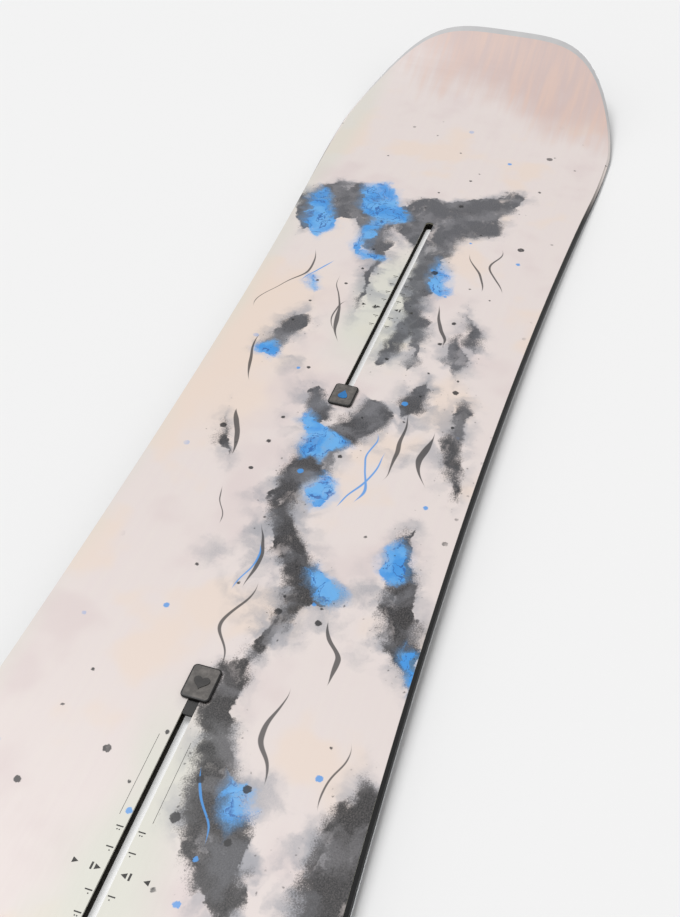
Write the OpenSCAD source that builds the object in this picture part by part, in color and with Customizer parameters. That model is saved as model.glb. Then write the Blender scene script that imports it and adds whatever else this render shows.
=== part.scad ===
// Snowboard with two lengthwise binding channels, laid up from its real layers.
// +X points to the nose, +Y to the left side, +Z up. The origin is under the middle of the
// board, on the surface that it rests on. Heights inside the board are measured upwards from
// the underside at the same distance along the board.

/* [Outline] */
// Overall length, nose tip to tail tip
board_len = 1506; // [1440:2:1620]
// Width at the waist, over the steel edges
waist_w = 241.5; // [230:0.5:262]
// Radius of the sidecut
sidecut_r = 6600; // [6000:50:9000]
// Distance from the middle to where the sidecut starts to fade
sidecut_end = 490; // [460:1:520]
// Distance from the middle to the widest places
widest_x = 587; // [580:1:605]
// Fullness of the nose and tail along the board
tip_fullness_x = 1.38; // [1.3:0.02:2.4]
// Fullness of the nose and tail across the board
tip_fullness_y = 4; // [2.6:0.1:4.4]

/* [Side profile] */
// Distance from the middle to where the board meets the snow
contact_x = 565; // [550:1:570]
// Height of the arch between the contact lines
camber = 6; // [0:0.5:9]
// Radius of the upturned nose and tail
tip_r = 363; // [330:1:450]
// Thickness underfoot
thick_mid = 10; // [9.6:0.1:11]
// Thickness of the nose and tail
thick_tip = 5.4; // [5:0.1:6]
// Distance from the middle to where the board starts to thin
thin_start = 420; // [400:5:450]

/* [Channels] */
// Middle of the two channels along the board
stance_x = -12.5; // [-20:0.5:0]
// Distance from the middle of the channels to each plug
plug_offset = 141.2; // [130:0.2:150]
// Distance from the middle of the channels to each slot's outer end
slot_reach = 413; // [380:1:415]
// Width of the slot in the top
slot_w = 7.2; // [7:0.1:8]
// Width of the undercut that holds the nuts
undercut_w = 15; // [14:0.5:17]

/* [Plugs] */
// Length of a plug's cap along the board
cap_len = 24.6; // [24:0.2:28]
// Width of a plug's cap
cap_w = 18.6; // [17:0.2:24]
// Thickness of a plug's cap
cap_thick = 2; // [1.6:0.1:3]
// Clearance between a plug and the board
plug_gap = 0.3; // [0.2:0.05:0.4]

/* [Layers] */
// Thickness of the running base
base_thick = 1.5; // [1.2:0.1:1.6]
// Height and width of a steel edge
edge_size = 2; // [1.9:0.1:2.2]
// Thickness of each glass fibre layer
laminate_thick = 0.6; // [0.5:0.05:0.8]
// Thickness of the topsheet
topsheet_thick = 0.6; // [0.5:0.05:0.8]
// Width of a sidewall
sidewall_w = 9; // [8:0.5:11]
// How far the topsheet's edge lies inside the steel edge
bevel_w = 3.2; // [2:0.1:4]
// Width of the bare rim round the nose and tail
rim_w = 9; // [6:0.5:12]

/* [Hidden] */

$fn = 64;
half_len = board_len / 2;
half_waist = waist_w / 2;
side_steps = 24;
tip_steps = 22;
// The last angle stops short of 90 degrees, so that the tips end in a short flat.
tip_last_angle = 89.6;

// Inner rim and top of the flange that anchors a steel edge. Rubber foil fills up to the edge.
flange_in = 7;
flange_top = base_thick + 0.3;
// Inset of the corner where the flange springs from the edge.
edge_root = edge_size + 0.3;
// How far the sidewall's foot reaches in over the steel edge, and how much edge it leaves bare.
foot_w = 2.5;
edge_lip = 0.4;
// Lowest and highest surfaces of the core, counted from the underside and from the top.
core_low = edge_size + laminate_thick;
skin = laminate_thick + topsheet_thick;
// Half the gap where the left and right strips of the rim meet at the nose and tail.
rim_gap = 0.05;
// The core ends where the spacers begin. It has this many wood strips on each side.
core_end_x = 575;
stringer_count = 5;
stringer_w = 20;

// Channel insert
slot_r = slot_w / 2;
insert_w = undercut_w + 9;
insert_end = 6;
insert_wall = 2;
web_thick = 0.4;
floor_w = 5.6;
lip_thick = 0.7;
mouth_len = 14;
mouth_r = 2;
// Distance from a plug's middle to the slot's inner end
slot_tail = mouth_len / 2 + slot_r;
tongue_len = 10;

// ---- Plan outline ----

// Half the width between the tips, over the steel edges.
function side_w(x) =
  let (d = min(max(abs(x) - sidecut_end, 0), widest_x - sidecut_end))
  let (s = min(abs(x), sidecut_end))
  half_waist + s * s / (2 * sidecut_r)
  + sidecut_end / sidecut_r * (d - d * d / (2 * (widest_x - sidecut_end)));

// One point of the nose's outline. Angle 0 is the widest place and 90 is the tip.
function tip_point(a, side_in, tip_in) = [
  widest_x + (half_len - tip_in - widest_x) * pow(sin(a), 2 / tip_fullness_x),
  (side_w(widest_x) - side_in) * pow(cos(a), 2 / tip_fullness_y)
];

// Angles bunched towards the tip, where the outline turns fastest.
tip_angles = [for (i = [1:tip_steps]) tip_last_angle * sin(90 * i / tip_steps)];

// Places along the board that every layer has its corners at, so that layers meet face to face.
core_x = [for (i = [-side_steps:side_steps]) core_end_x * i / side_steps];
side_x = concat([-widest_x], core_x, [widest_x]);

// The left half of the outline along the side, round the nose from the widest place, and whole
// from tail to nose, as [x, half width].
function side_line(side_in) = [for (x = side_x) [x, side_w(x) - side_in]];
function nose_line(side_in, tip_in) = [for (a = tip_angles) tip_point(a, side_in, tip_in)];
function half_outline(side_in, tip_in) =
  let (nose = nose_line(side_in, tip_in))
  concat(
    [for (i = [tip_steps - 1:-1:0]) [-nose[i][0], nose[i][1]]],
    side_line(side_in),
    nose
  );

// ---- Side profile ----

// The smooth curve of the underside, and the smooth change of thickness.
function smooth_under(x) =
  let (d = abs(x) - contact_x)
  d < 0
    ? camber / 2 * (1 + cos(180 * x / contact_x))
    : tip_r - sqrt(tip_r * tip_r - d * d);
function smooth_thick(x) =
  let (t = min(max((abs(x) - thin_start) / (contact_x - thin_start), 0), 1))
  thick_tip + (thick_mid - thick_tip) * (1 + cos(180 * t)) / 2;

// Height of the underside and thickness of the board, straight between the shared places.
under_table = [for (x = core_x) [x, smooth_under(x)]];
thick_table = [for (x = core_x) [x, smooth_thick(x)]];
function under(x) = abs(x) > core_end_x ? smooth_under(x) : lookup(x, under_table);
function thick(x) = abs(x) > core_end_x ? smooth_thick(x) : lookup(x, thick_table);

// A level is [a, b]: the height a above the underside plus b times the board's thickness.
function level(x, l) = under(x) + l[0] + l[1] * thick(x);

// Slope of the topsheet underfoot, in degrees.
function tilt(x) = atan((under(x + 1) - under(x - 1)) / 2);

// ---- Shapes that follow the board ----

// A flat end of a sweep, ring k of n points. turn is 1 at the first ring and -1 at the last.
function flat_cap(k, n, turn) =
  [[for (i = [0:n - 1]) k * n + (turn > 0 ? i : n - 1 - i)]];

// An end whose ring isn't flat: level strips between the ring's left and right halves.
function strip_cap(k, n, turn) = [for (i = [0:n / 2 - 2])
  let (a = k * n + i, b = a + 1, c = k * n + n - 2 - i, d = c + 1)
  turn > 0 ? [a, b, c, d] : [d, c, b, a]];

// Two triangles between rings k and k + 1, from corner i to corner j. They split along the line
// to the inner corner of the ring nearer the board's middle, so that neighbours split alike.
function quad(rings, k, i, j) =
  let (n = len(rings[0]), a = k * n + i, b = k * n + j)
  let (outwards = abs(rings[k][i][0]) < abs(rings[k + 1][i][0]))
  let (inner_first = abs(rings[k][i][1]) < abs(rings[k][j][1]))
  inner_first == outwards
    ? [[a, a + n, b + n], [a, b + n, b]]
    : [[a, a + n, b], [b, a + n, b + n]];

// Closed skin of a sweep whose rings all have the same number of points, in order round them.
module sweep(rings, flat_first = true, flat_last = true) {
  n = len(rings[0]);
  last = len(rings) - 1;
  polyhedron(
    points = [for (r = rings) for (p = r) p],
    faces = concat(
      flat_first ? flat_cap(0, n, 1) : strip_cap(0, n, 1),
      [for (k = [0:last - 1]) for (i = [0:n - 1]) each quad(rings, k, i, (i + 1) % n)],
      flat_last ? flat_cap(last, n, -1) : strip_cap(last, n, -1)
    )
  );
}

// A section is a list of corners, each [side inset, tip inset, level]. Its lines run along the
// board, one from each corner.

// Rings through the section's lines.
function ring_points(section, lines) =
  [for (k = [0:len(lines[0]) - 1]) [for (j = [0:len(section) - 1])
    let (p = lines[j][k]) [p[0], p[1], level(p[0], section[j][2])]]];

// The same rings with each one carried on round its mirror image on the right side.
function mirrored(rings) = [for (r = rings)
  concat(r, [for (j = [len(r) - 1:-1:0]) [r[j][0], -r[j][1], r[j][2]]])];

// A layer from rim to rim and from tail to nose. Its section starts at the bottom.
module plate(section) {
  lines = [for (c = section) half_outline(c[0], c[1])];
  sweep(mirrored(ring_points(section, lines)), false, false);
}

// The stretch of such a layer between the widest places, and the one round the nose that starts
// at start_x.
module side_plate(section) {
  sweep(mirrored(ring_points(section, [for (c = section) side_line(c[0])])));
}
module nose_plate(section, start_x) {
  lines = [for (c = section) nose_lead(c, start_x)];
  sweep(mirrored(ring_points(section, lines)), true, false);
}
function nose_lead(c, start_x) = concat(
  [for (x = start_x < widest_x ? [start_x, widest_x] : [widest_x]) [x, side_w(x) - c[0]]],
  nose_line(c[0], c[1])
);

// A strip along the left side between the widest places, and one round the left half of the
// nose. The latter ends close to the centre line.
module side_strip(section) {
  sweep(ring_points(section, [for (c = section) side_line(c[0])]));
}
module nose_strip(section) {
  sweep(ring_points(section, [for (c = section)
    let (line = nose_lead(c, widest_x)) concat(line, [[line[len(line) - 1][0], rim_gap]])]));
}

// A strip along the whole left rim, from tail to nose.
module rim_strip(section) {
  sweep(ring_points(section, [for (c = section)
    let (h = half_outline(c[0], c[1]), end_x = h[len(h) - 1][0])
    concat([[-end_x, rim_gap]], h, [[end_x, rim_gap]])]));
}

// The shared places between from_x and to_x, and those two ends.
function places(from_x, to_x) =
  concat([from_x], [for (x = core_x) if (x > from_x + 0.1 && x < to_x - 0.1) x], [to_x]);

// A lengthwise strip of the core from low_y to high_y, no wider than the core.
module stringer(low_y, high_y, from_x, to_x) {
  sweep([for (x = places(from_x, to_x))
    let (edge = side_w(x) - sidewall_w, a = max(low_y, -edge), b = min(high_y, edge))
    let (zl = level(x, [core_low, 0]), zh = level(x, [-skin, 1]))
    [[x, a, zl], [x, b, zl], [x, b, zh], [x, a, zh]]]);
}

// A band between two levels, as wide as w, from from_x to to_x.
module band(low, high, from_x, to_x, w) {
  xs = places(from_x, to_x);
  translate([0, w / 2, 0]) rotate([90, 0, 0]) linear_extrude(w) polygon(concat(
    [for (x = xs) [x, level(x, low)]],
    [for (i = [len(xs) - 1:-1:0]) [xs[i], level(xs[i], high)]]
  ));
}

// An upright slug with round ends, from from_x to to_x.
module slug(from_x, to_x, w) {
  translate([0, 0, -1]) linear_extrude(60) {
    translate([from_x + w / 2, -w / 2]) square([to_x - from_x - w, w]);
    translate([from_x + w / 2, 0]) circle(d = w);
    translate([to_x - w / 2, 0]) circle(d = w);
  }
}

// ---- Channels, all worked out for the front one and mirrored for the rear one ----

slot_from = plug_offset - slot_tail;
slot_to = slot_reach;

// Rounded rectangle for plug and mouth, centred on a plug.
module rounded_pad(l, w, r) {
  square([l - 2 * r, w], center = true);
  square([l, w - 2 * r], center = true);
  for (sx = [-1, 1], sy = [-1, 1])
    translate([sx * (l / 2 - r), sy * (w / 2 - r)]) circle(r);
}

// dir is 1 for the front channel and -1 for the rear one.
function along(dir, d) = stance_x + dir * d;
function low_end(dir, a, b) = min(along(dir, a), along(dir, b));
function high_end(dir, a, b) = max(along(dir, a), along(dir, b));
function channel_from(dir) = low_end(dir, slot_from - insert_end, slot_to + insert_end);
function channel_to(dir) = high_end(dir, slot_from - insert_end, slot_to + insert_end);

// The opening through the top layers: the slot and the mouth for the nuts.
module top_opening(dir) {
  slug(low_end(dir, slot_from, slot_to), high_end(dir, slot_from, slot_to), slot_w);
  translate([along(dir, plug_offset), 0, -1]) linear_extrude(60)
    rounded_pad(mouth_len, undercut_w, mouth_r);
}

module channel(dir) {
  a = channel_from(dir);
  b = channel_to(dir);
  difference() {
    band([core_low, 0], [-skin, 1], a, b, insert_w);
    intersection() {
      band([core_low + web_thick, 0], [-skin - lip_thick, 1], a, b, insert_w + 2);
      slug(a + insert_wall, b - insert_wall, undercut_w);
    }
    // A gap through the web for the floor strip.
    intersection() {
      band([core_low - 1, 0], [core_low + web_thick + 1, 0], a, b, insert_w + 2);
      floor_slug(dir);
    }
    // The opening is cut down to halfway into the undercut.
    intersection() {
      band([core_low + web_thick + 1, 0], [1, 1], a, b, insert_w + 2);
      top_opening(dir);
    }
  }
}

module floor_slug(dir) {
  slug(low_end(dir, slot_from, slot_to) + 1, high_end(dir, slot_from, slot_to) - 1, floor_w);
}

module channel_floor(dir) {
  intersection() {
    band([core_low, 0], [core_low + web_thick, 0], channel_from(dir), channel_to(dir), insert_w);
    floor_slug(dir);
  }
}

// ---- Plugs ----

// Moves a plug's own frame, with its cap's underside at z 0, onto the topsheet.
module at_plug(dir) {
  x = along(dir, plug_offset);
  translate([x, 0, under(x) + thick(x) + 0.1]) rotate([0, -tilt(x), 0]) children();
}

module plug(dir) {
  body_depth = thick_mid - core_low - web_thick - 1;
  tongue_depth = 1.6;
  at_plug(dir) {
    linear_extrude(cap_thick - 0.5) rounded_pad(cap_len, cap_w, 3);
    translate([0, 0, cap_thick - 0.5]) linear_extrude(0.5) rounded_pad(cap_len - 1, cap_w - 1, 2.5);
    translate([0, 0, -body_depth]) linear_extrude(body_depth)
      rounded_pad(mouth_len - 2 * plug_gap, undercut_w - 2 * plug_gap, mouth_r - plug_gap);
    translate([dir * (cap_len / 2 + tongue_len - slot_r), 0, -tongue_depth - 0.4]) {
      linear_extrude(tongue_depth) circle(slot_r - plug_gap);
      reach = tongue_len + cap_len / 2 - slot_r;
      translate([-dir * reach / 2, 0, tongue_depth / 2])
        cube([reach, slot_w - 2 * plug_gap, tongue_depth], center = true);
    }
  }
}

// A drop that points to the nose, for the front plug.
module drop_shape() {
  drop_len = 10;
  drop_w = 7.2;
  // The widest place of the curve below, at 120 degrees.
  peak = sin(120) * pow(sin(60), 2);
  polygon([for (t = [0:10:350])
    [drop_len / 2 * cos(t), drop_w / 2 * sin(t) * pow(sin(t / 2), 2) / peak]]);
}

// A heart with its point towards the tail, for the rear plug.
module heart_shape() {
  heart_scale = 0.32;
  scale(heart_scale) polygon([for (t = [0:10:350])
    [13 * cos(t) - 5 * cos(2 * t) - 2 * cos(3 * t) - cos(4 * t), 16 * pow(sin(t), 3)]]);
}

module emblem(dir) {
  at_plug(dir) translate([0, 0, cap_thick]) linear_extrude(0.4) children();
}

// ---- Nodes ----

// The running base is in three lengths, butted together at the widest places.
base_section = [
  [edge_size, edge_size, [0, 0]],
  [edge_root, edge_root, [base_thick, 0]],
  [flange_in, flange_in, [base_thick, 0]]
];

// The steel edge is in lengths too: one along each side, and one round each half of a tip.
edge_section = [
  [0, 0, [0, 0]],
  [0, 0, [edge_size, 0]],
  [edge_lip, edge_lip, [edge_size, 0]],
  [edge_size, edge_size, [edge_size, 0]],
  [edge_root, edge_root, [flange_top, 0]],
  [flange_in, flange_in, [flange_top, 0]],
  [flange_in, flange_in, [base_thick, 0]],
  [edge_root, edge_root, [base_thick, 0]],
  [edge_size, edge_size, [0, 0]]
];

module tip_edge() {
  nose_strip(edge_section);
  mirror([0, 1, 0]) nose_strip(edge_section);
}

module edge_damper() {
  rim_strip([
    [edge_root, edge_root, [flange_top, 0]],
    [edge_size, edge_size, [edge_size, 0]],
    [foot_w, foot_w, [edge_size, 0]],
    [flange_in, flange_in, [edge_size, 0]],
    [flange_in, flange_in, [flange_top, 0]]
  ]);
}

module bottom_laminate() {
  color("palegoldenrod") plate([
    [flange_in, flange_in, [base_thick, 0]],
    [flange_in, flange_in, [edge_size, 0]],
    [foot_w, foot_w, [edge_size, 0]],
    [foot_w, foot_w, [core_low, 0]]
  ]);
}

// The wood strips lie side by side, turn and turn about. The channels break the middle one.
module core_poplar() {
  color("burlywood") {
    stringer(-insert_w / 2, insert_w / 2, -core_end_x, channel_from(-1));
    stringer(-insert_w / 2, insert_w / 2, channel_to(-1), channel_from(1));
    stringer(-insert_w / 2, insert_w / 2, channel_to(1), core_end_x);
    for (i = [1:2:stringer_count - 1]) wood_pair(i);
  }
}

module core_paulownia() {
  color("wheat") for (i = [0:2:stringer_count - 1]) wood_pair(i);
}

// Strip number i counted outwards from the middle one, on both sides.
module wood_pair(i) {
  low_y = insert_w / 2 + i * stringer_w;
  high_y = i == stringer_count - 1 ? half_waist * 2 : low_y + stringer_w;
  stringer(low_y, high_y, -core_end_x, core_end_x);
  mirror([0, 1, 0]) stringer(low_y, high_y, -core_end_x, core_end_x);
}

// A sidewall runs along the core, between the spacers.
module sidewall() {
  section = [
    [edge_lip, 0, [edge_size, 0]],
    [edge_lip + 0.6, 0, [edge_size - skin, 0.45]],
    [bevel_w, 0, [-skin, 1]],
    [sidewall_w, 0, [-skin, 1]],
    [sidewall_w, 0, [core_low, 0]],
    [foot_w, 0, [core_low, 0]],
    [foot_w, 0, [edge_size, 0]]
  ];
  sweep(ring_points(section, [for (c = section) [for (x = core_x) [x, side_w(x) - c[0]]]]));
}

// The spacer fills the nose beyond the core. Its bare rim slopes down outside the topsheet.
module spacer() {
  nose_plate([
    [foot_w, foot_w, [core_low, 0]],
    [foot_w, foot_w, [edge_size, 0]],
    [edge_size, edge_size, [edge_size, 0]],
    [edge_lip, edge_lip, [edge_size, 0]],
    [edge_lip + 0.6, edge_lip + 0.6, [edge_size - skin, 0.45]],
    [bevel_w, rim_w, [-0.15, 1]],
    [bevel_w, rim_w, [-skin, 1]]
  ], core_end_x);
}

module top_laminate() {
  color("palegoldenrod") difference() {
    plate([[bevel_w, rim_w, [-skin, 1]], [bevel_w, rim_w, [-topsheet_thick, 1]]]);
    top_opening(1);
    top_opening(-1);
  }
}

module topsheet() {
  color("mistyrose") difference() {
    plate([[bevel_w, rim_w, [-topsheet_thick, 1]], [bevel_w, rim_w, [0, 1]]]);
    top_opening(1);
    top_opening(-1);
  }
}

module nose_base() { color("dimgray") nose_plate(base_section, widest_x); }
module running_base() { color("dimgray") side_plate(base_section); }
module tail_base() { color("dimgray") mirror([1, 0, 0]) nose_plate(base_section, widest_x); }
module left_steel_edge() { color("silver") side_strip(edge_section); }
module right_steel_edge() { color("silver") mirror([0, 1, 0]) side_strip(edge_section); }
module nose_steel_edge() { color("silver") tip_edge(); }
module tail_steel_edge() { color("silver") mirror([1, 0, 0]) tip_edge(); }
module left_edge_damper() { color("black") edge_damper(); }
module right_edge_damper() { color("black") mirror([0, 1, 0]) edge_damper(); }
module left_sidewall() { color("black") sidewall(); }
module right_sidewall() { color("black") mirror([0, 1, 0]) sidewall(); }
module nose_spacer() { color("darkgray") spacer(); }
module tail_spacer() { color("darkgray") mirror([1, 0, 0]) spacer(); }
module front_channel() { color("black") channel(1); }
module rear_channel() { color("black") channel(-1); }
module front_channel_floor() { color("white") channel_floor(1); }
module rear_channel_floor() { color("white") channel_floor(-1); }
module front_plug() { color("dimgray") plug(1); }
module rear_plug() { color("dimgray") plug(-1); }
module front_plug_emblem() { color("steelblue") emblem(1) drop_shape(); }
module rear_plug_emblem() { color("dimgray") emblem(-1) heart_shape(); }

nose_base();
running_base();
tail_base();
left_steel_edge();
right_steel_edge();
nose_steel_edge();
tail_steel_edge();
left_edge_damper();
right_edge_damper();
bottom_laminate();
core_poplar();
core_paulownia();
left_sidewall();
right_sidewall();
nose_spacer();
tail_spacer();
front_channel();
rear_channel();
front_channel_floor();
rear_channel_floor();
top_laminate();
topsheet();
front_plug();
rear_plug();
front_plug_emblem();
rear_plug_emblem();
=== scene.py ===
import math

import bmesh
import bpy
from mathutils import Matrix, Vector
from mathutils.bvhtree import BVHTree


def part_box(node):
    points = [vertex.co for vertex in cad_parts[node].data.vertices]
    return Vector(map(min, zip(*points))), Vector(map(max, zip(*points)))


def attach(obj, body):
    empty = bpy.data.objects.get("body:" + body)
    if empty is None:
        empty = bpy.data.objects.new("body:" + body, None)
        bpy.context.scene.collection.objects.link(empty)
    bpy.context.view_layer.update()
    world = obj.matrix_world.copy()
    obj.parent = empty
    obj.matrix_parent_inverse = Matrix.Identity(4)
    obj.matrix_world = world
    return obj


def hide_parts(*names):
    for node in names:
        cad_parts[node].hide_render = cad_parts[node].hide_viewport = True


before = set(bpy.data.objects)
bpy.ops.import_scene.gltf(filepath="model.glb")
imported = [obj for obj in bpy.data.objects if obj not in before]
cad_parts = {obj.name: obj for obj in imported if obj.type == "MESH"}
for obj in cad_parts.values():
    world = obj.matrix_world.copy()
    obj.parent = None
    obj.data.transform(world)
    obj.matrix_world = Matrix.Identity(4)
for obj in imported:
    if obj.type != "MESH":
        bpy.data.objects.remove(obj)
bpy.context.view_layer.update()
MM = 0.001

# ---- The view ----

VIEW_AZIMUTH = 73.33     # degrees from +Y towards +X, the way the camera looks
VIEW_DOWN = 42.84        # degrees below level
VIEW_DISTANCE = 0.8496   # metres from the camera to the point that it aims at
VIEW_TARGET = Vector((0.0664, -0.0171, 0.010))
VIEW_ROLL = 1.285        # degrees
LENS = 45.77             # mm, with 36 mm on the long side


def make_camera():
    camera = bpy.data.cameras.new("camera")
    camera.sensor_fit = "AUTO"
    camera.sensor_width = 36
    camera.lens = LENS
    camera.clip_start = 0.02
    camera.clip_end = 50
    azimuth, down = math.radians(VIEW_AZIMUTH), math.radians(VIEW_DOWN)
    level = Vector((math.sin(azimuth), math.cos(azimuth), 0))
    forward = level * math.cos(down) - Vector((0, 0, math.sin(down)))
    holder = bpy.data.objects.new("camera", camera)
    holder.location = VIEW_TARGET - forward * VIEW_DISTANCE
    turn = forward.to_track_quat("-Z", "Y").to_matrix()
    roll = Matrix.Rotation(math.radians(VIEW_ROLL), 3, "Z")
    holder.rotation_euler = (turn @ roll).to_euler()
    bpy.context.scene.collection.objects.link(holder)
    bpy.context.scene.camera = holder


# ---- The studio ----

ROOM_LIGHT = 0.50         # strength of the white light from all round
SOFTBOX_LIGHT = 1.78      # strength of the softbox
SOFTBOX_SPREAD = 34       # degrees of the sky that the softbox covers
SOFTBOX_SHINES = Vector((-0.16, -0.46, -1.0))
FLOOR_SIZE = 80           # metres


def make_softbox():
    """A large soft lamp, far off, overhead and a little to the board's left and front."""
    light = bpy.data.lights.new("left_softbox", "SUN")
    light.energy = SOFTBOX_LIGHT
    light.angle = math.radians(SOFTBOX_SPREAD)
    lamp = bpy.data.objects.new("left_softbox", light)
    lamp.rotation_euler = SOFTBOX_SHINES.to_track_quat("-Z", "Y").to_euler()
    bpy.context.scene.collection.objects.link(lamp)


def make_studio():
    scene = bpy.context.scene
    scene.view_settings.view_transform = "Standard"
    scene.world = bpy.data.worlds.new("studio")
    scene.world.use_nodes = True
    background = scene.world.node_tree.nodes["Background"]
    background.inputs["Color"].default_value = (1, 1, 1, 1)
    background.inputs["Strength"].default_value = ROOM_LIGHT
    make_softbox()


# ---- Numbers that vary over a surface ----

def shade(red, green, blue):
    """A colour given as 0 to 255, as the renderer wants it."""
    return [(c / 255 / 12.92 if c < 10 else ((c / 255 + 0.055) / 1.055) ** 2.4)
            for c in (red, green, blue)] + [1]


# Places of a mix node's sockets for colours, whose names its other sockets share.
MIX_SHARE, MIX_FIRST, MIX_SECOND = 0, 6, 7
MIX_RESULT = 2


class Field:
    """One output of a node, with arithmetic."""

    def __init__(self, graph, socket):
        self.graph = graph
        self.socket = socket

    def __add__(self, other):
        return self.graph.math("ADD", self, other)

    def __radd__(self, other):
        return self.graph.math("ADD", other, self)

    def __sub__(self, other):
        return self.graph.math("SUBTRACT", self, other)

    def __rsub__(self, other):
        return self.graph.math("SUBTRACT", other, self)

    def __mul__(self, other):
        return self.graph.math("MULTIPLY", self, other)

    def __truediv__(self, other):
        return self.graph.math("DIVIDE", self, other)


class Graph:
    """A material that is drawn with fields. x, y and z are millimetres in the board's frame."""

    def __init__(self, name, **settings):
        self.material = bpy.data.materials.new(name)
        self.material.use_nodes = True
        self.nodes = self.material.node_tree.nodes
        self.links = self.material.node_tree.links
        self.shader = self.nodes["Principled BSDF"]
        for socket, value in settings.items():
            self.shader.inputs[socket.replace("_", " ")].default_value = value
        place = self.node("ShaderNodeTexCoord").outputs["Object"]
        self.place = self.vector("SCALE", Field(self, place), scale=1 / MM)
        parts = self.node("ShaderNodeSeparateXYZ", Vector=self.place)
        self.x, self.y, self.z = (Field(self, parts.outputs[i]) for i in range(3))

    def node(self, kind, settings=(), **inputs):
        made = self.nodes.new(kind)
        for key, value in dict(settings).items():
            setattr(made, key, value)
        for key, value in inputs.items():
            self.put(made.inputs[key.replace("_", " ")], value)
        return made

    def put(self, socket, value):
        if isinstance(value, Field):
            self.links.new(value.socket, socket)
        else:
            socket.default_value = value

    def math(self, operation, *values):
        made = self.node("ShaderNodeMath", {"operation": operation})
        for socket, value in zip(made.inputs, values):
            self.put(socket, value)
        return Field(self, made.outputs[0])

    def vector(self, operation, *values, scale=None):
        made = self.node("ShaderNodeVectorMath", {"operation": operation})
        for socket, value in zip(made.inputs, values):
            self.put(socket, value)
        if scale is not None:
            self.put(made.inputs["Scale"], scale)
        return Field(self, made.outputs["Vector"])

    def joined(self, x, y, z=0.0):
        made = self.node("ShaderNodeCombineXYZ", X=x, Y=y, Z=z)
        return Field(self, made.outputs[0])

    def noise(self, place, size, detail=3.0, rough=0.5, twist=0.0):
        """Cloudy noise from 0 to 1 with lumps about size millimetres across."""
        made = self.node("ShaderNodeTexNoise", Vector=place, Scale=1 / size, Detail=detail,
                         Roughness=rough, Distortion=twist)
        return Field(self, made.outputs["Fac"])

    def smooth(self, value, low, high):
        """0 where value is under low and 1 over high, or the other way about if low is higher."""
        made = self.node("ShaderNodeMapRange", {"interpolation_type": "SMOOTHSTEP"}, Value=value)
        for key, level in (("From Min", min(low, high)), ("From Max", max(low, high)),
                           ("To Min", 0.0 if low < high else 1.0),
                           ("To Max", 1.0 if low < high else 0.0)):
            self.put(made.inputs[key], level)
        return Field(self, made.outputs["Result"])

    def upward(self):
        """1 on faces that look up and 0 on upright ones."""
        normal = self.node("ShaderNodeNewGeometry").outputs["True Normal"]
        height = self.node("ShaderNodeSeparateXYZ", Vector=Field(self, normal)).outputs[2]
        return self.smooth(Field(self, height), 0.25, 0.6)

    def mix(self, share, first, second):
        """The first colour where share is 0 and the second where it is 1."""
        made = self.nodes.new("ShaderNodeMix")
        made.data_type = "RGBA"
        self.put(made.inputs[MIX_SHARE], share)
        self.put(made.inputs[MIX_FIRST], first)
        self.put(made.inputs[MIX_SECOND], second)
        return Field(self, made.outputs[MIX_RESULT])

    def colour(self, value):
        self.put(self.shader.inputs["Base Color"], value)

    def roughness(self, value):
        self.put(self.shader.inputs["Roughness"], value)

    def bump(self, height, distance):
        """Relief whose height of 1 stands distance millimetres proud."""
        made = self.node("ShaderNodeBump", Height=height, Distance=distance * MM, Strength=1.0)
        self.put(self.shader.inputs["Normal"], Field(self, made.outputs[0]))


# ---- The printed topsheet ----

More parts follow.
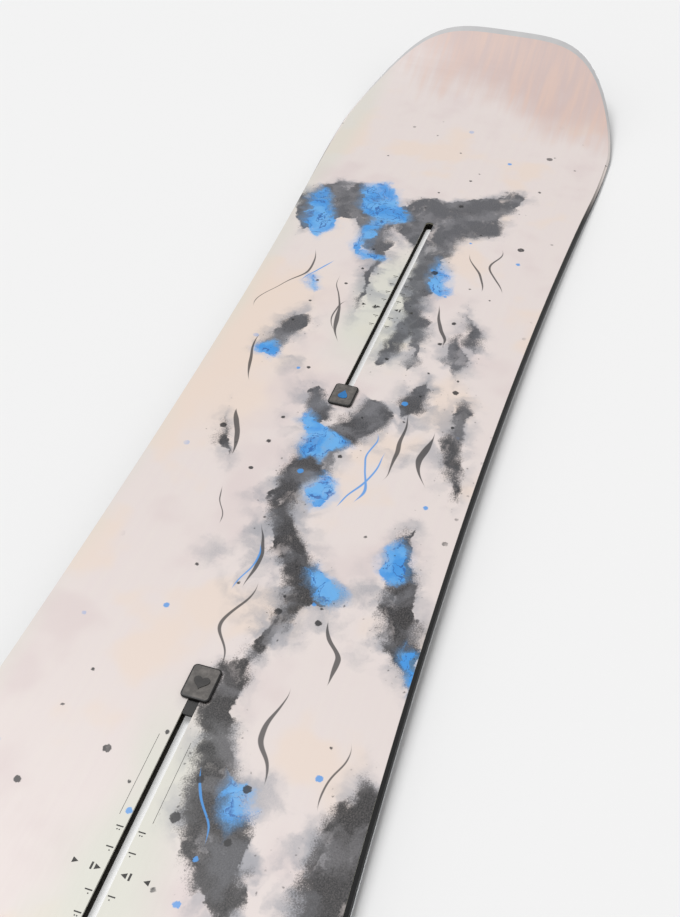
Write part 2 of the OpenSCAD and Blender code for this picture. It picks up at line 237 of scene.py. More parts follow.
# Runs of ink along the board. Each is a list of x, y and half-width, in millimetres, from nose to
# tail. The ink lies between y - half-width and y + half-width, and a half-width below nothing ends
# a run. They were placed ahead of the rear slot roughly where the photograph has its washes,
# without its figure, and behind that freely. Noise roughens them.
DARK_RUNS = [
    [(456, 96, -3), (440, 88, 20), (422, 82, 42), (400, 90, 38), (380, 98, 22), (362, 106, 8),
     (350, 110, -4)],
    [(488, -70, -4), (472, -62, 14), (452, -44, 26), (430, -16, 46), (404, -14, 50),
     (376, -4, 30), (352, -12, 16),
     (318, -16, 12), (286, -16, 11), (262, -22, 8), (214, -20, 7), (180, -14, 5), (168, -14, -3)],
    [(412, 52, -3), (394, 50, 22), (370, 44, 12), (346, 36, 9), (322, 29, 5), (290, 26, 2.5),
     (252, 24, 1), (240, 24, -3)],
    [(256, -26, -3), (238, -30, 8), (216, -36, 4), (186, -38, 1.5), (176, -38, -3)],
    [(226, 64, -3), (214, 66, 9), (192, 72, 9), (172, 75, 6), (158, 76, -3)],
    [(268, -68, -3), (254, -72, 3), (232, -78, 5), (212, -84, 2), (206, -86, -3)],
    [(240, -62, -3), (222, -66, 6), (204, -72, 8), (190, -77, 4), (180, -78, -3)],
    [(168, -52, -3), (156, -56, 6), (136, -54, 8), (122, -50, 3), (112, -48, -3)],
    [(138, 24, -3), (122, 20, 9), (104, 10, 11), (92, 12, 6), (82, 14, -3)],
    [(134, -16, -4), (122, -28, 12), (104, -24, 14), (86, -14, 14), (66, -4, 15), (46, 0, 14),
     (24, 6, 10), (0, 4, 9), (-24, -6, 12), (-48, -24, 16), (-68, -40, 17), (-84, -30, 8),
     (-104, -26, 6), (-126, -22, 3), (-140, -14, 6), (-160, -14, 8), (-186, -22, 10),
     (-212, -32, 14), (-236, -42, 20), (-258, -50, 18), (-280, -62, 9), (-296, -66, -4)],
    [(156, -90, -3), (140, -91, 4), (116, -92, 7), (92, -93, 8), (78, -98, 5), (52, -104, 1),
     (44, -106, -3)],
    [(12, -84, -3), (-12, -86, 6), (-40, -92, 9), (-66, -98, 13), (-92, -108, 10), (-118, -118, 5),
     (-130, -120, -3)],
    [(78, 76, -3), (66, 72, 2), (50, 66, 3), (36, 60, 1), (30, 58, -3)],
    [(-176, -112, -4), (-206, -118, 14), (-240, -118, 22), (-276, -116, 20), (-300, -120, -4)],
    [(-318, 6, -4), (-346, 18, 10), (-372, 36, 14), (-402, 40, 8), (-430, 52, 4), (-444, 54, -4)],
    [(-366, -58, -4), (-392, -68, 12), (-426, -62, 10), (-470, -48, 6), (-500, -46, -4)],
    [(-508, 30, -4), (-540, 40, 14), (-566, 52, 20), (-596, 56, 12), (-622, 66, -4)],
]

# Thin, wide grey washes.
PALE_RUNS = [
    [(380, 30, -9), (340, 24, 26), (300, 10, 30), (250, -12, 26), (200, -14, 20), (160, -20, -9)],
    [(258, 66, -9), (226, 62, 16), (180, 66, 14), (140, 40, 12), (108, 18, 26), (60, 30, -9)],
    [(190, -50, -9), (150, -56, 22), (104, -62, 26), (76, -58, 20), (50, -56, -9)],
    [(60, 0, -9), (10, 4, 30), (-30, -6, 36), (-60, -20, 46), (-100, -30, 34), (-130, -22, -9)],
    [(0, -84, -9), (-40, -78, 18), (-90, -84, 26), (-124, -104, -9)],
    [(-30, 34, -9), (-52, 30, 16), (-74, 34, -9)],
    [(-190, -60, -9), (-236, -62, 44), (-290, -90, 40), (-330, -80, 20), (-350, -40, -9)],
    [(-320, 10, -9), (-372, 36, 32), (-430, -20, 40), (-480, -46, 24), (-620, 60, 30),
     (-650, 60, -9)],
]

# Runs of blue ink.
BLUE_RUNS = [
    [(464, 58, -3), (446, 60, 14), (424, 54, 17), (404, 46, 22), (392, 40, 12), (376, 48, 3),
     (350, 50, 3), (334, 46, 6), (326, 34, 9), (318, 24, -3)],
    [(430, 118, -3), (418, 114, 5), (400, 108, 6), (384, 102, 10), (362, 96, 12), (350, 92, 5),
     (336, 92, -3)],
    [(340, -24, -3), (326, -28, 3), (310, -30, 6), (296, -34, 6), (286, -36, -3)],
    [(288, 76, -3), (278, 76, 4), (264, 71, 4), (256, 70, -3)],
    [(180, 76, -3), (170, 76, 4), (160, 74, 4), (152, 74, -3)],
    [(104, 18, -3), (94, 16, 4), (84, 4, 12), (74, -4, 16), (62, 2, 8), (54, 8, -3)],
    [(50, -12, -3), (40, -16, 5), (20, -16, 7), (10, -16, -3)],
    [(-6, -84, -3), (-18, -84, 7), (-30, -86, 9), (-42, -84, -3)],
    [(-84, -110, -3), (-96, -114, 5), (-116, -120, 4), (-130, -124, -3)],
    [(-44, -38, -3), (-56, -44, 9), (-66, -52, 6), (-74, -56, -3)],
    [(-206, -36, -3), (-216, -46, 5), (-228, -50, 4), (-238, -50, -3)],
    [(-344, 14, -3), (-356, 22, 7), (-376, 34, 5), (-388, 40, -3)],
    [(-540, 36, -3), (-556, 48, 8), (-580, 56, 5), (-592, 58, -3)],
]

# Strokes a hair to a few millimetres wide, in the same form.
HAIR_RUNS = [
    [(388, -66, -1), (368, -74, 0.5), (344, -70, 1.2), (318, -82, 0.9), (296, -88, -1)],
    [(372, -48, -1), (352, -50, 0.5), (330, -62, 1.2), (308, -68, 0.5), (296, -70, -1)],
    [(336, 92, -1), (312, 84, 0.5), (286, 82, 1.2), (258, 96, 0.6), (228, 108, 0.5),
     (206, 102, -1)],
    [(306, 56, -1), (276, 50, 0.5), (246, 40, 1.0), (222, 34, 1.8), (200, 28, 0.6), (184, 20, -1)],
    [(262, 30, -1), (240, 40, 0.8), (216, 36, 0.5), (190, 16, -1)],
    [(284, -40, -1), (262, -44, 0.8), (240, -52, 2.0), (222, -58, 0.8), (208, -58, -1)],
    [(196, 82, -1), (176, 88, 0.6), (152, 84, 1.5), (130, 76, 0.5), (112, 70, -1)],
    [(94, 72, -1), (78, 68, 2.0), (60, 60, 2.4), (44, 56, 0.6), (32, 54, -1)],
    [(128, -78, -1), (104, -76, 0.5), (82, -74, 2.6), (62, -80, 1.0), (38, -92, -1)],
    [(140, -52, -1), (116, -56, 0.6), (86, -58, 1.6), (58, -58, 0.6), (34, -48, -1)],
    [(18, 52, -1), (-4, 48, 0.6), (-22, 38, 0.5), (-36, 40, -1)],
    [(-6, 12, -1), (-30, 8, 0.8), (-52, 2, 1.8), (-70, 4, 0.6), (-84, 0, -1)],
    [(-56, -2, -1), (-78, -6, 0.6), (-106, 2, 1.2), (-132, -6, 0.5), (-148, -4, -1)],
    [(-78, -54, -1), (-98, -62, 1.8), (-112, -72, 2.2), (-128, -72, 0.6), (-138, -70, -1)],
    [(-128, -48, -1), (-150, -52, 0.7), (-176, -48, 1.6), (-200, -58, 0.6), (-214, -60, -1)],
    [(-152, -92, -1), (-176, -96, 0.6), (-198, -90, 0.8), (-222, -96, -1)],
    [(-300, 40, -1), (-330, 48, 0.8), (-362, 64, 1.6), (-396, 66, 0.6), (-420, 74, -1)],
    [(-430, -84, -1), (-466, -78, 1.0), (-500, -82, 1.8), (-534, -74, 0.5), (-556, -76, -1)],
]

# Blue strokes, in the same form.
BLUE_HAIR_RUNS = [
    [(318, 66, -1), (296, 72, 0.8), (276, 80, 0.5), (262, 82, -1)],
    [(104, -30, -1), (84, -42, 0.7), (60, -40, 0.7), (34, -46, 1.0), (12, -40, -1)],
    [(92, -52, -1), (66, -50, 0.5), (42, -44, 0.9), (20, -34, 0.8), (6, -30, -1)],
    [(-26, 12, -1), (-50, 4, 0.8), (-72, 10, 0.6), (-88, 8, -1)],
    [(-196, -20, -1), (-222, -28, 1.0), (-240, -38, 0.6), (-258, -38, -1)],
    [(-352, 46, -1), (-384, 42, 0.8), (-414, 30, 0.9), (-440, 32, -1)],
]

# Colours as the print shows them.
PAPER_PINK = shade(227, 215, 213)
PAPER_CREAM = shade(229, 219, 214)
PAPER_PEACH = shade(233, 215, 202)
PAPER_MAUVE = shade(221, 207, 205)
PAPER_GREEN = shade(216, 217, 205)
TIP_ROSE = shade(211, 189, 184)
TIP_SALMON = shade(221, 194, 183)
INK_MIST = shade(146, 150, 159)
INK_DARK = shade(27, 27, 30)
# Charcoal paled as painted sheen, used towards the nose.
INK_PAINTED_SHEEN = shade(78, 80, 86)
BLUE_DEEP = shade(40, 104, 176)
BLUE_BRIGHT = shade(62, 150, 226)
BLUE_MILKY = shade(104, 176, 236)

TIP_TINT_X = 668  # millimetres from the middle to where the tips' tint begins
SCARF_FROM, SCARF_TO = 612, 662  # where the grey rim runs out beside the sidewalls
LIP_FROM, LIP_TO = 450, 570  # where the sidewalls' bevel turns from black to pink

RUN_SPAN_Y = 150  # millimetres each side that a curve can reach


def profile(graph, share, heights):
    """A smooth curve through points of share and height, as millimetres."""
    made = graph.node("ShaderNodeFloatCurve", Value=share)
    curve = made.mapping.curves[0]
    for _ in heights[2:]:  # a new curve has two points
        curve.points.new(0.5, 0.5)
    for point, (place, height) in zip(curve.points, heights):
        point.location = (place, height / (2 * RUN_SPAN_Y) + 0.5)
        point.handle_type = "AUTO_CLAMPED"
    made.mapping.update()
    return (Field(graph, made.outputs[0]) - 0.5) * (2 * RUN_SPAN_Y)


def ink_gap(graph, x, y, runs):
    """Millimetres from a place to the nearest run, negative inside."""
    nearest = None
    for run in runs:
        start, length = run[-1][0], run[0][0] - run[-1][0]
        share = (x - start) * (1 / length)
        stops = [((p - start) / length, q, half) for p, q, half in reversed(run)]
        middle = profile(graph, share, [(place, q) for place, q, _ in stops])
        half = profile(graph, share, [(place, half) for place, _, half in stops])
        gap = graph.math("ABSOLUTE", y - middle) - half
        nearest = gap if nearest is None else graph.math("MINIMUM", nearest, gap)
    return nearest


def spatter(graph, place, size, low, high, keep, seed):
    """Round drops of ink from low to high cells in radius, one in some of the cells of a grid."""
    shifted = graph.vector("ADD", place, Vector((seed * 71.0, seed * 193.0, 0)))
    cell = graph.node("ShaderNodeTexVoronoi", {"voronoi_dimensions": "2D"}, Vector=shifted,
                      Scale=1 / size, Randomness=0.9)
    chance = graph.node("ShaderNodeSeparateXYZ", Vector=Field(graph, cell.outputs["Color"]))
    radius = low + graph.math("POWER", Field(graph, chance.outputs[0]), 2.5) * (high - low)
    soft = 0.35 / size
    drop = graph.smooth(Field(graph, cell.outputs["Distance"]) - radius, soft, -soft)
    return drop * graph.smooth(Field(graph, chance.outputs[1]), 1 - keep, 1.02 - keep)


def paper(graph, flat):
    """The pale ground: pink-cream with drifts of peach, mauve and green, salmon at the tips."""
    drift = graph.noise(flat, 95, 2.0)
    other = graph.noise(graph.joined(graph.x + 700, graph.y + 90), 80, 3.0)
    bands = graph.noise(graph.joined(graph.x / 150, graph.y / 5), 1.0, 2.0)
    ground = graph.mix(bands, PAPER_PINK, PAPER_CREAM)
    left = graph.smooth(graph.y + (drift - 0.5) * 120, 20, 80)
    middle = graph.smooth(graph.math("ABSOLUTE", graph.x - 170), 150, 70)
    ground = graph.mix(left * middle * 0.85, ground, PAPER_PEACH)
    ground = graph.mix(graph.smooth(other, 0.52, 0.68) * 0.8, ground, PAPER_MAUVE)
    ground = graph.mix(graph.smooth(other, 0.47, 0.36) * 0.75, ground, PAPER_PEACH)
    margin = graph.smooth(graph.y + (drift - 0.5) * 26, 106, 130) * 0.55
    ground = graph.mix(margin, ground, PAPER_GREEN)
    beside = graph.smooth(graph.math("ABSOLUTE", graph.y) + (drift - 0.5) * 70, 42, 10)
    reach = graph.smooth(graph.math("ABSOLUTE", graph.math("ABSOLUTE", graph.x) - 260), 120, 40)
    ground = graph.mix(beside * reach * 0.8, ground, PAPER_GREEN)
    streak = graph.noise(graph.joined(graph.x / 90, graph.y / 8), 1.0, 3.0)
    line = TIP_TINT_X + graph.y * 0.35 - (streak - 0.5) * 60 - (drift - 0.5) * 150
    tip = graph.smooth(graph.math("ABSOLUTE", graph.x) - line, -42, 34)
    salmon = graph.mix(graph.smooth(streak, 0.35, 0.7), TIP_ROSE, TIP_SALMON)
    return graph.mix(tip, ground, salmon)


class Paint:
    """The noises and the wandering place that the print's layers share."""

    def __init__(self, graph):
        self.flat = graph.joined(graph.x, graph.y)
        self.aside = graph.joined(graph.x + 500, graph.y + 300)
        broad_x = graph.noise(self.flat, 34, 5.0, 0.6)
        broad_y = graph.noise(self.aside, 26, 5.0, 0.6)
        self.x = graph.x + (broad_x - 0.5) * 44
        self.y = graph.y + (broad_y - 0.5) * 30
        moved = graph.joined(self.x, self.y)
        self.grain = graph.noise(self.flat, 1.0, 3.0, 0.8)
        self.cloud = graph.noise(moved, 22, 3.0, 0.5)
        self.wet = graph.smooth(graph.noise(self.aside, 24, 1.0), 0.36, 0.60)
        streaks = graph.noise(graph.joined(self.x / 1.8, self.y + 900), 17, 5.0, 0.65)
        self.worn = graph.smooth(streaks, 0.54, 0.68)
        self.spread = 1.2 + self.wet * 9


def pale_washes(graph, paint, ground):
    soft = graph.smooth(ink_gap(graph, paint.x, paint.y, PALE_RUNS), 8, -16)
    mist = soft * graph.smooth(paint.cloud, 0.38, 0.66) * (0.7 + (paint.grain - 0.5) * 0.9)
    return graph.mix(mist * 0.75, ground, INK_MIST)


def dark_washes(graph, paint, dark_gap, ground):
    """Charcoal with a pale halo. Towards the nose it pales, as painted sheen on the farther ink."""
    halo = graph.smooth(dark_gap, 17, -3) * graph.smooth(paint.cloud, 0.38, 0.6)
    ground = graph.mix(halo * 0.62, ground, INK_MIST)
    edge = dark_gap + (paint.cloud - 0.5) * 9 + (paint.grain - 0.5) * paint.spread * 2.6
    body = graph.smooth(edge / paint.spread, 0.55, -0.55)
    # Full charcoal towards the tail, turning to the paler painted sheen towards the nose.
    sheen_free = graph.smooth(graph.x + (paint.cloud - 0.5) * 500, 260, -160)
    charcoal = graph.mix(sheen_free, INK_PAINTED_SHEEN, INK_DARK)
    thin = graph.smooth(paint.cloud, 0.44, 0.66)
    faded = 0.96 - paint.worn * (0.25 + paint.wet * 0.3) - thin * 0.22
    cover = faded + (paint.grain - 0.5) * 0.5
    return graph.mix(body * cover, ground, charcoal)


def blue_washes(graph, paint, ground):
    """Blue with darker veins in it."""
    blue_gap = ink_gap(graph, paint.x, paint.y, BLUE_RUNS)
    marbling = graph.noise(graph.joined(paint.x, paint.y, 7.0), 20, 2.0, 0.5, 1.8)
    vein = graph.smooth(graph.math("ABSOLUTE", marbling - 0.5), 0.006, 0.03)
    edge = blue_gap + (marbling - 0.5) * 18 + (paint.grain - 0.5) * paint.spread * 2
    body = graph.smooth(edge / paint.spread, 0.6, -0.6)
    ground = graph.mix(graph.smooth(blue_gap, 10, -3) * 0.4, ground, BLUE_MILKY)
    tone = graph.mix(graph.smooth(paint.cloud, 0.4, 0.62), BLUE_BRIGHT, BLUE_MILKY)
    return graph.mix(body * (0.95 - paint.worn * 0.4), ground, graph.mix(vein, BLUE_DEEP, tone))


def hairlines(graph, paint, ground):
    sway = graph.y + (graph.noise(paint.aside, 46, 1.0) - 0.5) * 16
    hairs = graph.smooth(ink_gap(graph, graph.x, sway, HAIR_RUNS), 0.15, -0.45)
    ground = graph.mix(hairs * 0.84, ground, INK_DARK)
    threads = graph.smooth(ink_gap(graph, graph.x, sway, BLUE_HAIR_RUNS), 0.25, -0.4)
    return graph.mix(threads * 0.86, ground, BLUE_BRIGHT)


def all_spatter(graph, paint, dark_gap, ground):
    """Drops of ink, fine mottling beside the dark washes, and blue beads."""
    rough_edge = graph.noise(paint.flat, 2.6, 2.0, 0.6)
    ragged = graph.joined(graph.x + (rough_edge - 0.5) * 3.2,
                          graph.y + (paint.grain - 0.5) * 2.2)
    reach = (graph.smooth(graph.math("ABSOLUTE", graph.y + 12), 112, 92)
             * graph.smooth(graph.math("ABSOLUTE", graph.x), 640, 540))
    drops = spatter(graph, ragged, 31, 0.03, 0.105, 0.42, 2) * reach
    ground = graph.mix(drops * (0.92 - paint.worn * 0.3), ground, INK_DARK)
    mottle = spatter(graph, ragged, 6.5, 0.03, 0.10, 0.5, 5) * graph.smooth(dark_gap, 16, 4)
    ground = graph.mix(mottle * 0.7, ground, INK_DARK)
    beads = spatter(graph, ragged, 46, 0.03, 0.06, 0.22, 9) * reach
    return graph.mix(beads * 0.85, ground, BLUE_BRIGHT)


def whole_print(graph):
    """The paper and the layers of ink, from the lowest up."""
    paint = Paint(graph)
    ground = paper(graph, paint.flat)
    ground = pale_washes(graph, paint, ground)
    dark_gap = ink_gap(graph, paint.x, paint.y, DARK_RUNS)
    ground = dark_washes(graph, paint, dark_gap, ground)
    ground = blue_washes(graph, paint, ground)
    ground = hairlines(graph, paint, ground)
    return all_spatter(graph, paint, dark_gap, ground)


def topsheet_material():
    graph = Graph("topsheet_print", Coat_Weight=0.08, Coat_Roughness=0.22, Specular_IOR_Level=0.4)
    graph.colour(whole_print(graph))
    peel = graph.noise(graph.place, 2.6, 2.0)
    scuff = graph.noise(graph.joined(graph.x / 30, graph.y / 2.2), 1.0, 4.0, 0.7)
    graph.roughness(0.40 + (scuff - 0.5) * 0.16)
    graph.bump(peel, 0.012)
    return graph.material


# ---- Finish of the other parts ----

def steel_material():
    graph = Graph("brushed_steel", Metallic=1.0)
    lines = graph.noise(graph.joined(graph.x / 14, graph.y / 14, graph.z * 6), 1.0, 3.0, 0.6)
    spots = graph.noise(graph.place, 5, 4.0, 0.7)
    tone = graph.mix(lines, shade(188, 190, 193), shade(222, 223, 224))
    graph.colour(graph.mix(graph.smooth(spots, 0.62, 0.8) * 0.5, tone, shade(150, 138, 124)))
    graph.roughness(0.26 + lines * 0.18)
    graph.bump(lines, 0.02)
    return graph.material


def sidewall_material():
    """Black. Towards the tips its bevel takes the topsheet's pink."""
    graph = Graph("milled_sidewall", Specular_IOR_Level=0.18)
    lines = graph.noise(graph.joined(graph.x / 26, graph.y / 26, graph.z * 2.4), 1.0, 3.0, 0.6)
    scuff = graph.smooth(graph.noise(graph.place, 11, 5.0, 0.75), 0.62, 0.8)
    tone = graph.mix(lines, shade(6, 6, 7), shade(16, 16, 17))
    tone = graph.mix(scuff * 0.3, tone, shade(58, 58, 60))
    lip = graph.upward() * graph.smooth(graph.math("ABSOLUTE", graph.x), LIP_FROM, LIP_TO)
    graph.colour(graph.mix(lip, tone, PAPER_CREAM))
    graph.roughness(0.36 + lines * 0.2)
    graph.bump(lines, 0.05)
    return graph.material


def base_material():
    graph = Graph("waxed_base", Specular_IOR_Level=0.4)
    grind = graph.noise(graph.joined(graph.x / 60, graph.y * 1.6), 1.0, 4.0, 0.7)
    cross = graph.noise(graph.joined((graph.x + graph.y) / 2.5, (graph.x - graph.y) / 50),
                        1.0, 3.0, 0.6)
    wax = graph.noise(graph.place, 60, 4.0, 0.6)
    tone = graph.mix(grind, shade(30, 31, 34), shade(50, 51, 55))
    graph.colour(graph.mix(graph.smooth(wax, 0.5, 0.75) * 0.3, tone, shade(88, 90, 94)))
    graph.roughness(0.3 + grind * 0.2 + wax * 0.12)
    graph.bump(grind * 0.6 + cross * 0.4, 0.03)
    return graph.material


def spacer_material():
    """Grey at the tip. Towards the sidewalls it turns black, under a lip in the topsheet's pink."""
    graph = Graph("grey_rim")
    mottle = graph.noise(graph.place, 14, 4.0, 0.6)
    grain = graph.noise(graph.place, 0.8, 2.0, 0.6)
    grey = graph.mix(mottle, shade(186, 186, 187), shade(204, 203, 203))
    side = graph.mix(graph.upward(), shade(8, 8, 9), PAPER_CREAM)
    from_middle = graph.math("ABSOLUTE", graph.x) + (mottle - 0.5) * 6
    graph.colour(graph.mix(graph.smooth(from_middle, SCARF_FROM, SCARF_TO), side, grey))
    graph.roughness(0.46 + (grain - 0.5) * 0.2)
    graph.bump(grain, 0.02)
    return graph.material


def moulded_material(name, low, high, rough):
    """Moulded plastic or rubber: a fine leathery skin with a little dust in its hollows."""
    graph = Graph(name)
    grain = graph.noise(graph.place, 0.45, 3.0, 0.65)
    dust = graph.noise(graph.place, 6, 4.0, 0.7)
    graph.colour(graph.mix(graph.smooth(dust, 0.35, 0.75), shade(*low), shade(*high)))
    graph.roughness(rough + (grain - 0.5) * 0.2)
    graph.bump(grain, 0.03)
    return graph.material


# The white strip in the slots' floors. Its faint glow is painted light that keeps it white down in
# the shaded slot.
def floor_strip_painted_glow_material():
    graph = Graph("channel_floor", Specular_IOR_Level=0.6, Emission_Color=shade(255, 255, 255),
                  Emission_Strength=0.24)
    lines = graph.noise(graph.joined(graph.x / 20, graph.y * 2), 1.0, 3.0, 0.6)
    graph.colour(graph.mix(lines, shade(236, 236, 236), shade(250, 250, 250)))
    graph.roughness(0.3 + lines * 0.2)
    graph.bump(lines, 0.01)
    return graph.material


def wood_material(name, early, late):
    graph = Graph(name)
    warp = graph.noise(graph.place, 60, 3.0)
    rings = graph.noise(graph.joined(graph.x / 160, (graph.y + warp * 8) / 2.2, graph.z / 2.2),
                        1.0, 3.0, 0.6)
    pores = graph.noise(graph.joined(graph.x / 12, graph.y * 2, graph.z * 2), 1.0, 2.0, 0.6)
    graph.colour(graph.mix(rings * 0.75 + pores * 0.25, shade(*early), shade(*late)))
    graph.roughness(0.55 + pores * 0.2)
    graph.bump(pores, 0.03)
    return graph.material


def laminate_material():
    graph = Graph("glass_laminate", Coat_Weight=0.5)
    weave = (graph.math("SINE", (graph.x + graph.y) * 2.2)
             * graph.math("SINE", (graph.x - graph.y) * 2.2)) * 0.5 + 0.5
    cloud = graph.noise(graph.place, 20, 3.0)
    graph.colour(graph.mix(weave * 0.5 + cloud * 0.5, shade(196, 192, 160), shade(222, 219, 194)))
    graph.roughness(0.3 + weave * 0.15)
    graph.bump(weave, 0.04)
    return graph.material


def dress(material, *names):
    """Gives CAD nodes a material."""
    for name in names:
        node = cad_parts[name]
        node.data.materials.clear()
        node.data.materials.append(material)


def dress_all():
    dress(topsheet_material(), "topsheet")
    dress(steel_material(), "left_steel_edge", "right_steel_edge", "nose_steel_edge",
          "tail_steel_edge")
    dress(sidewall_material(), "left_sidewall", "right_sidewall")
    dress(base_material(), "nose_base", "running_base", "tail_base")
    dress(spacer_material(), "nose_spacer", "tail_spacer")
    dress(moulded_material("channel_plastic", (62, 60, 55), (90, 87, 80), 0.5),
          "front_channel", "rear_channel")
    dress(moulded_material("damper_rubber", (12, 12, 12), (26, 26, 26), 0.7),
          "left_edge_damper", "right_edge_damper")
    dress(floor_strip_painted_glow_material(), "front_channel_floor", "rear_channel_floor")
    dress(laminate_material(), "bottom_laminate", "top_laminate")
    dress(wood_material("poplar", (214, 184, 140), (188, 152, 104)), "core_poplar")
    dress(wood_material("paulownia", (224, 204, 168), (198, 172, 130)), "core_paulownia")
    dress(moulded_material("blue_rubber", (20, 104, 170), (34, 128, 196), 0.45),
          "front_plug_emblem")
    # The heart is darker than the pad it stands on: painted shade standing for the shading round
    # its low relief.
    dress(moulded_material("heart_rubber_painted_shade", (36, 34, 33), (54, 51, 49), 0.5), "rear_plug_emblem")


# ---- Pieces made here ----

class Surface:
    """The upper side of a CAD node."""

    def __init__(self, name):
        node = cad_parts[name]
        corners = [node.matrix_world @ v.co for v in node.data.vertices]
        self.tree = BVHTree.FromPolygons(corners, [tuple(p.vertices) for p in node.data.polygons])

    def height(self, x, y):
        """Millimetres above the floor at x, y."""
        hit = self.tree.ray_cast(Vector((x * MM, y * MM, 1)), Vector((0, 0, -1)))[0]
        return hit.z / MM


def add_shell(mesh, rings, skins, lids):
    """Adds a closed skin through rings of equal length. skins has a material for each gap."""
    corners = [[mesh.verts.new(Vector(p) * MM) for p in ring] for ring in rings]
    count = len(rings[0])
    for low, high, skin in zip(corners, corners[1:], skins):
        for i in range(count):
            j = (i + 1) % count
            mesh.faces.new((low[i], low[j], high[j], high[i])).material_index = skin
    mesh.faces.new(corners[0][::-1]).material_index = lids[0]
    mesh.faces.new(corners[-1]).material_index = lids[1]


def finish_piece(name, mesh, materials, body):
    data = bpy.data.meshes.new(name)
    bmesh.ops.recalc_face_normals(mesh, faces=mesh.faces)
    mesh.to_mesh(data)
    mesh.free()
    for material in materials:
        data.materials.append(material)
    piece = bpy.data.objects.new(name, data)
    bpy.context.scene.collection.objects.link(piece)
    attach(piece, body)
    return piece


def rounded(length, width, radius, steps=6):
    """Corners of a rounded rectangle round the origin, anticlockwise from above."""
    corners = []
    for quarter, (sx, sy) in enumerate(((1, 1), (-1, 1), (-1, -1), (1, -1))):
        for step in range(steps + 1):
            turn = math.pi / 2 * (quarter + step / steps)
            corners.append((sx * (length / 2 - radius) + radius * math.cos(turn),
                            sy * (width / 2 - radius) + radius * math.sin(turn)))
    return corners


# The plugs. Drops are heights from the top of the cap, so they are negative.
CAP_LENGTH = 24.6
CAP_WIDTH = 18.6
CAP_CORNER = 3.0
STEM_LENGTH = 13.4
STEM_WIDTH = 14.4
STEM_CORNER = 1.7
STEM_TOP = -1.9           # just inside the cap
STEM_CLEARANCE = 0.2      # from the foot of the CAD plug up to the stem's
STEM_CHAMFER_IN = 0.5
STEM_CHAMFER_UP = 0.7
TONGUE_WIDTH = 6.6
TONGUE_CORNER = 0.8
TONGUE_FOOT = -4.0
TONGUE_TOP = -2.4
TONGUE_OVERLAP = 2        # how far the tongue reaches under the cap
FRONT_TONGUE_REACH = 2.4  # how far the tongues stand out beyond the caps
REAR_TONGUE_REACH = 10.0
SLOPE_AHEAD = 9           # where the slope of the cap is taken, from its middle
SLOPE_ASIDE = 6
# The plug's rubber comes in two copies: near-black, as painted shade, on the cap's sides, stem and
# tongue, and a lighter lit copy on the cap's top.
RUBBER_PAINTED_SHADE, RUBBER_LIT_TOP = 0, 1


def cap_sections():
    """Inset and drop of each section of the cap, from its underside up, and the skin above it."""
    return [(0.45, -2.0, RUBBER_PAINTED_SHADE), (0.1, -1.8, RUBBER_PAINTED_SHADE), (0.0, -1.4, RUBBER_PAINTED_SHADE),
            (0.0, -0.85, RUBBER_PAINTED_SHADE), (0.12, -0.45, RUBBER_PAINTED_SHADE), (0.38, -0.16, RUBBER_PAINTED_SHADE),
            (0.8, -0.04, RUBBER_PAINTED_SHADE), (1.15, 0.0, RUBBER_LIT_TOP)]


def make_plug(name, towards, tongue_reach, materials):
    """A plug with a softly rounded cap, over the CAD one. towards is where its tongue points."""
    low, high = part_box(name)
    reach = CAP_LENGTH / 2
    middle = (low[0] / MM + reach) if towards > 0 else (high[0] / MM - reach)
    top = Surface(name)
    rear, front = (top.height(middle + side * SLOPE_AHEAD, SLOPE_ASIDE) for side in (-1, 1))
    foot = low[2] / MM

    def place(u, v, drop):
        return middle + u, v, (rear + front) / 2 + u * (front - rear) / (2 * SLOPE_AHEAD) + drop

    mesh = bmesh.new()
    rings = [[place(u, v, drop) for u, v in rounded(CAP_LENGTH - 2 * inset, CAP_WIDTH - 2 * inset,
                                                    CAP_CORNER - inset)]
             for inset, drop, _ in cap_sections()]
    skins = [skin for _, _, skin in cap_sections()]
    add_shell(mesh, rings, skins[:-1], (RUBBER_PAINTED_SHADE, skins[-1]))
    depth = foot - place(0, 0, 0)[2] + STEM_CLEARANCE
    rings = [[place(u, v, drop) for u, v in rounded(STEM_LENGTH - 2 * inset, STEM_WIDTH - 2 * inset,
                                                    STEM_CORNER - inset)]
             for inset, drop in ((STEM_CHAMFER_IN, depth), (0.0, depth + STEM_CHAMFER_UP),
                                 (0.0, STEM_TOP))]
    add_shell(mesh, rings, [RUBBER_PAINTED_SHADE] * 2, (RUBBER_PAINTED_SHADE, RUBBER_PAINTED_SHADE))
    tongue = [(towards * (reach + (tongue_reach - TONGUE_OVERLAP) / 2) + u, v)
              for u, v in rounded(tongue_reach + TONGUE_OVERLAP, TONGUE_WIDTH, TONGUE_CORNER)]
    rings = [[place(u, v, drop) for u, v in tongue] for drop in (TONGUE_FOOT, TONGUE_TOP)]
    add_shell(mesh, rings, [RUBBER_PAINTED_SHADE], (RUBBER_PAINTED_SHADE, RUBBER_PAINTED_SHADE))
    piece = finish_piece(name + "_moulding", mesh, materials, name)
    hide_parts(name)


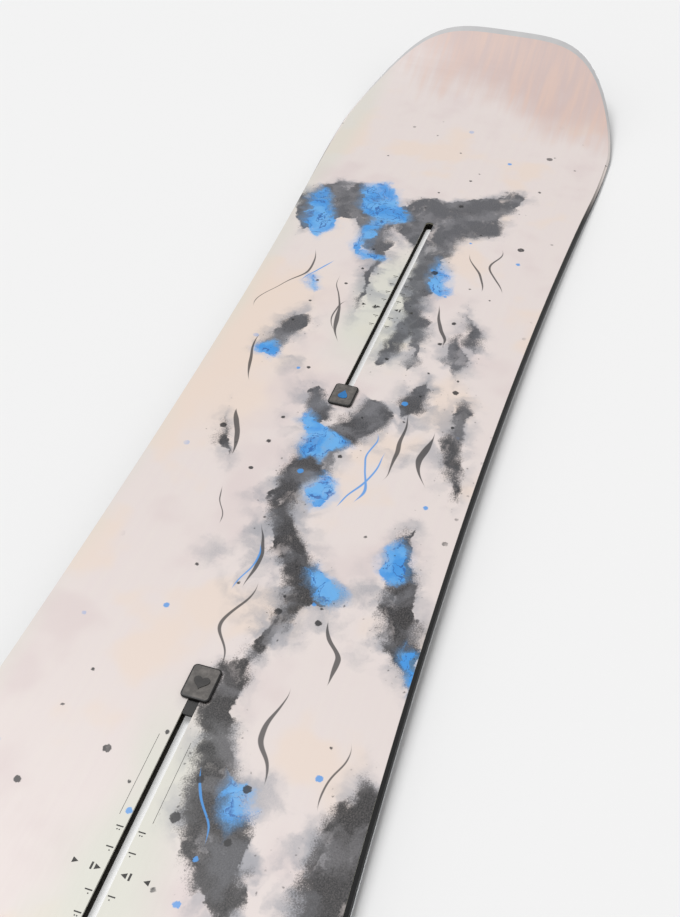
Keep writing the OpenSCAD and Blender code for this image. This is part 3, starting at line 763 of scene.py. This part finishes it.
# The stance scale. Its marks lie each side of the centre line, at these distances from it.
MARK_PROUD = 0.05
MARK_SUNK = 0.05
MARK_STEP = 12.5
STANCE = 530              # between the two reference places
SETBACK = 12.5            # of the reference places behind the board's centre
FRONT_REFERENCE_X = STANCE / 2 - SETBACK
REAR_REFERENCE_X = -STANCE / 2 - SETBACK
TICK_Y = 6.5
TICK_SIZE = (0.75, 4.2)   # sizes are along the board and across it
DOT_Y = 6.0
DOT_PITCH = 1.3
DOT_BEHIND = 2.0          # from the tick to its dots
DOT_SIZE = (0.7, 0.7)
MOST_DOTS = 2
NEAR_ARROW_Y = 7.4
FAR_ARROW_Y = 20.3
ARROW_SIZE = 1.7
PLAIN_BAR_Y = 10.9
PLAIN_BAR_SIZE = (4.2, 1.2)
RULE_FROM_X, RULE_TO_X = -246, -193
RULE_Y = 9.8
RULE_WIDTH = 0.25


def add_mark(mesh, sheet, outline):
    """A flat printed mark, on the sheet."""
    rings = [[(x, y, sheet.height(x, y) + lift) for x, y in outline]
             for lift in (-MARK_SUNK, MARK_PROUD)]
    add_shell(mesh, rings, [0], (0, 0))


def bar(x, y, length, width):
    return [(x + sx * length / 2, y + sy * width / 2)
            for sx, sy in ((-1, -1), (1, -1), (1, 1), (-1, 1))]


def arrow(x, y, side):
    """A triangle that points to the slot from the side given."""
    tip, back = y - side * ARROW_SIZE, y + side * ARROW_SIZE
    return [(x, tip), (x - ARROW_SIZE, back), (x + ARROW_SIZE, back)][::side]


def make_stance_scale(name, reference, steps, sheet, material):
    """Ticks each side of a slot, with the arrows that mark the reference place."""
    mesh = bmesh.new()
    for side in (-1, 1):
        for step in steps:
            x = reference + step * MARK_STEP
            add_mark(mesh, sheet, bar(x, side * TICK_Y, *TICK_SIZE))
            for dot in range(min(abs(step), MOST_DOTS)):
                y = side * (DOT_Y + dot * DOT_PITCH)
                add_mark(mesh, sheet, bar(x - DOT_BEHIND, y, *DOT_SIZE))
        add_mark(mesh, sheet, arrow(reference, side * NEAR_ARROW_Y, side))
        add_mark(mesh, sheet, bar(reference, side * PLAIN_BAR_Y, *PLAIN_BAR_SIZE))
        add_mark(mesh, sheet, arrow(reference, side * FAR_ARROW_Y, side))
    finish_piece(name, mesh, [material], "board")


def make_rules(name, sheet, material):
    """The two hairlines beside the rear slot."""
    middle, length = (RULE_FROM_X + RULE_TO_X) / 2, RULE_TO_X - RULE_FROM_X
    mesh = bmesh.new()
    for side in (-1, 1):
        add_mark(mesh, sheet, bar(middle, side * RULE_Y, length, RULE_WIDTH))
    finish_piece(name, mesh, [material], "board")


def make_pieces():
    # rim is the plug rubber darkened as painted shade for the sides, and pad is its lighter lit
    # copy for the top.
    rim = moulded_material("plug_rubber_painted_shade", (12, 11, 11), (26, 25, 24), 0.45)
    pad = moulded_material("plug_rubber_lit_top", (78, 74, 71), (114, 109, 105), 0.5)
    make_plug("front_plug", 1, FRONT_TONGUE_REACH, [rim, pad])
    make_plug("rear_plug", -1, REAR_TONGUE_REACH, [rim, pad])
    sheet = Surface("topsheet")
    print_ink = moulded_material("scale_ink", (38, 36, 34), (56, 54, 51), 0.55)
    make_stance_scale("stance_scale_front", FRONT_REFERENCE_X, (-2, -1, 1, 2, 3, 4), sheet,
                      print_ink)
    make_stance_scale("stance_scale_rear", REAR_REFERENCE_X, (-4, -3, -2, -1, 1, 2), sheet,
                      print_ink)
    make_rules("stance_rules_rear", sheet, print_ink)


def make_floor():
    bpy.ops.mesh.primitive_plane_add(size=FLOOR_SIZE, location=(0, 0, 0))
    floor = bpy.context.object
    floor.name = "floor"
    graph = Graph("pale_floor", Roughness=0.9)
    graph.colour(graph.mix(graph.noise(graph.place, 900, 2.0), shade(241, 241, 241),
                           shade(243, 243, 243)))
    floor.data.materials.append(graph.material)


make_camera()
make_studio()
make_floor()
dress_all()
make_pieces()
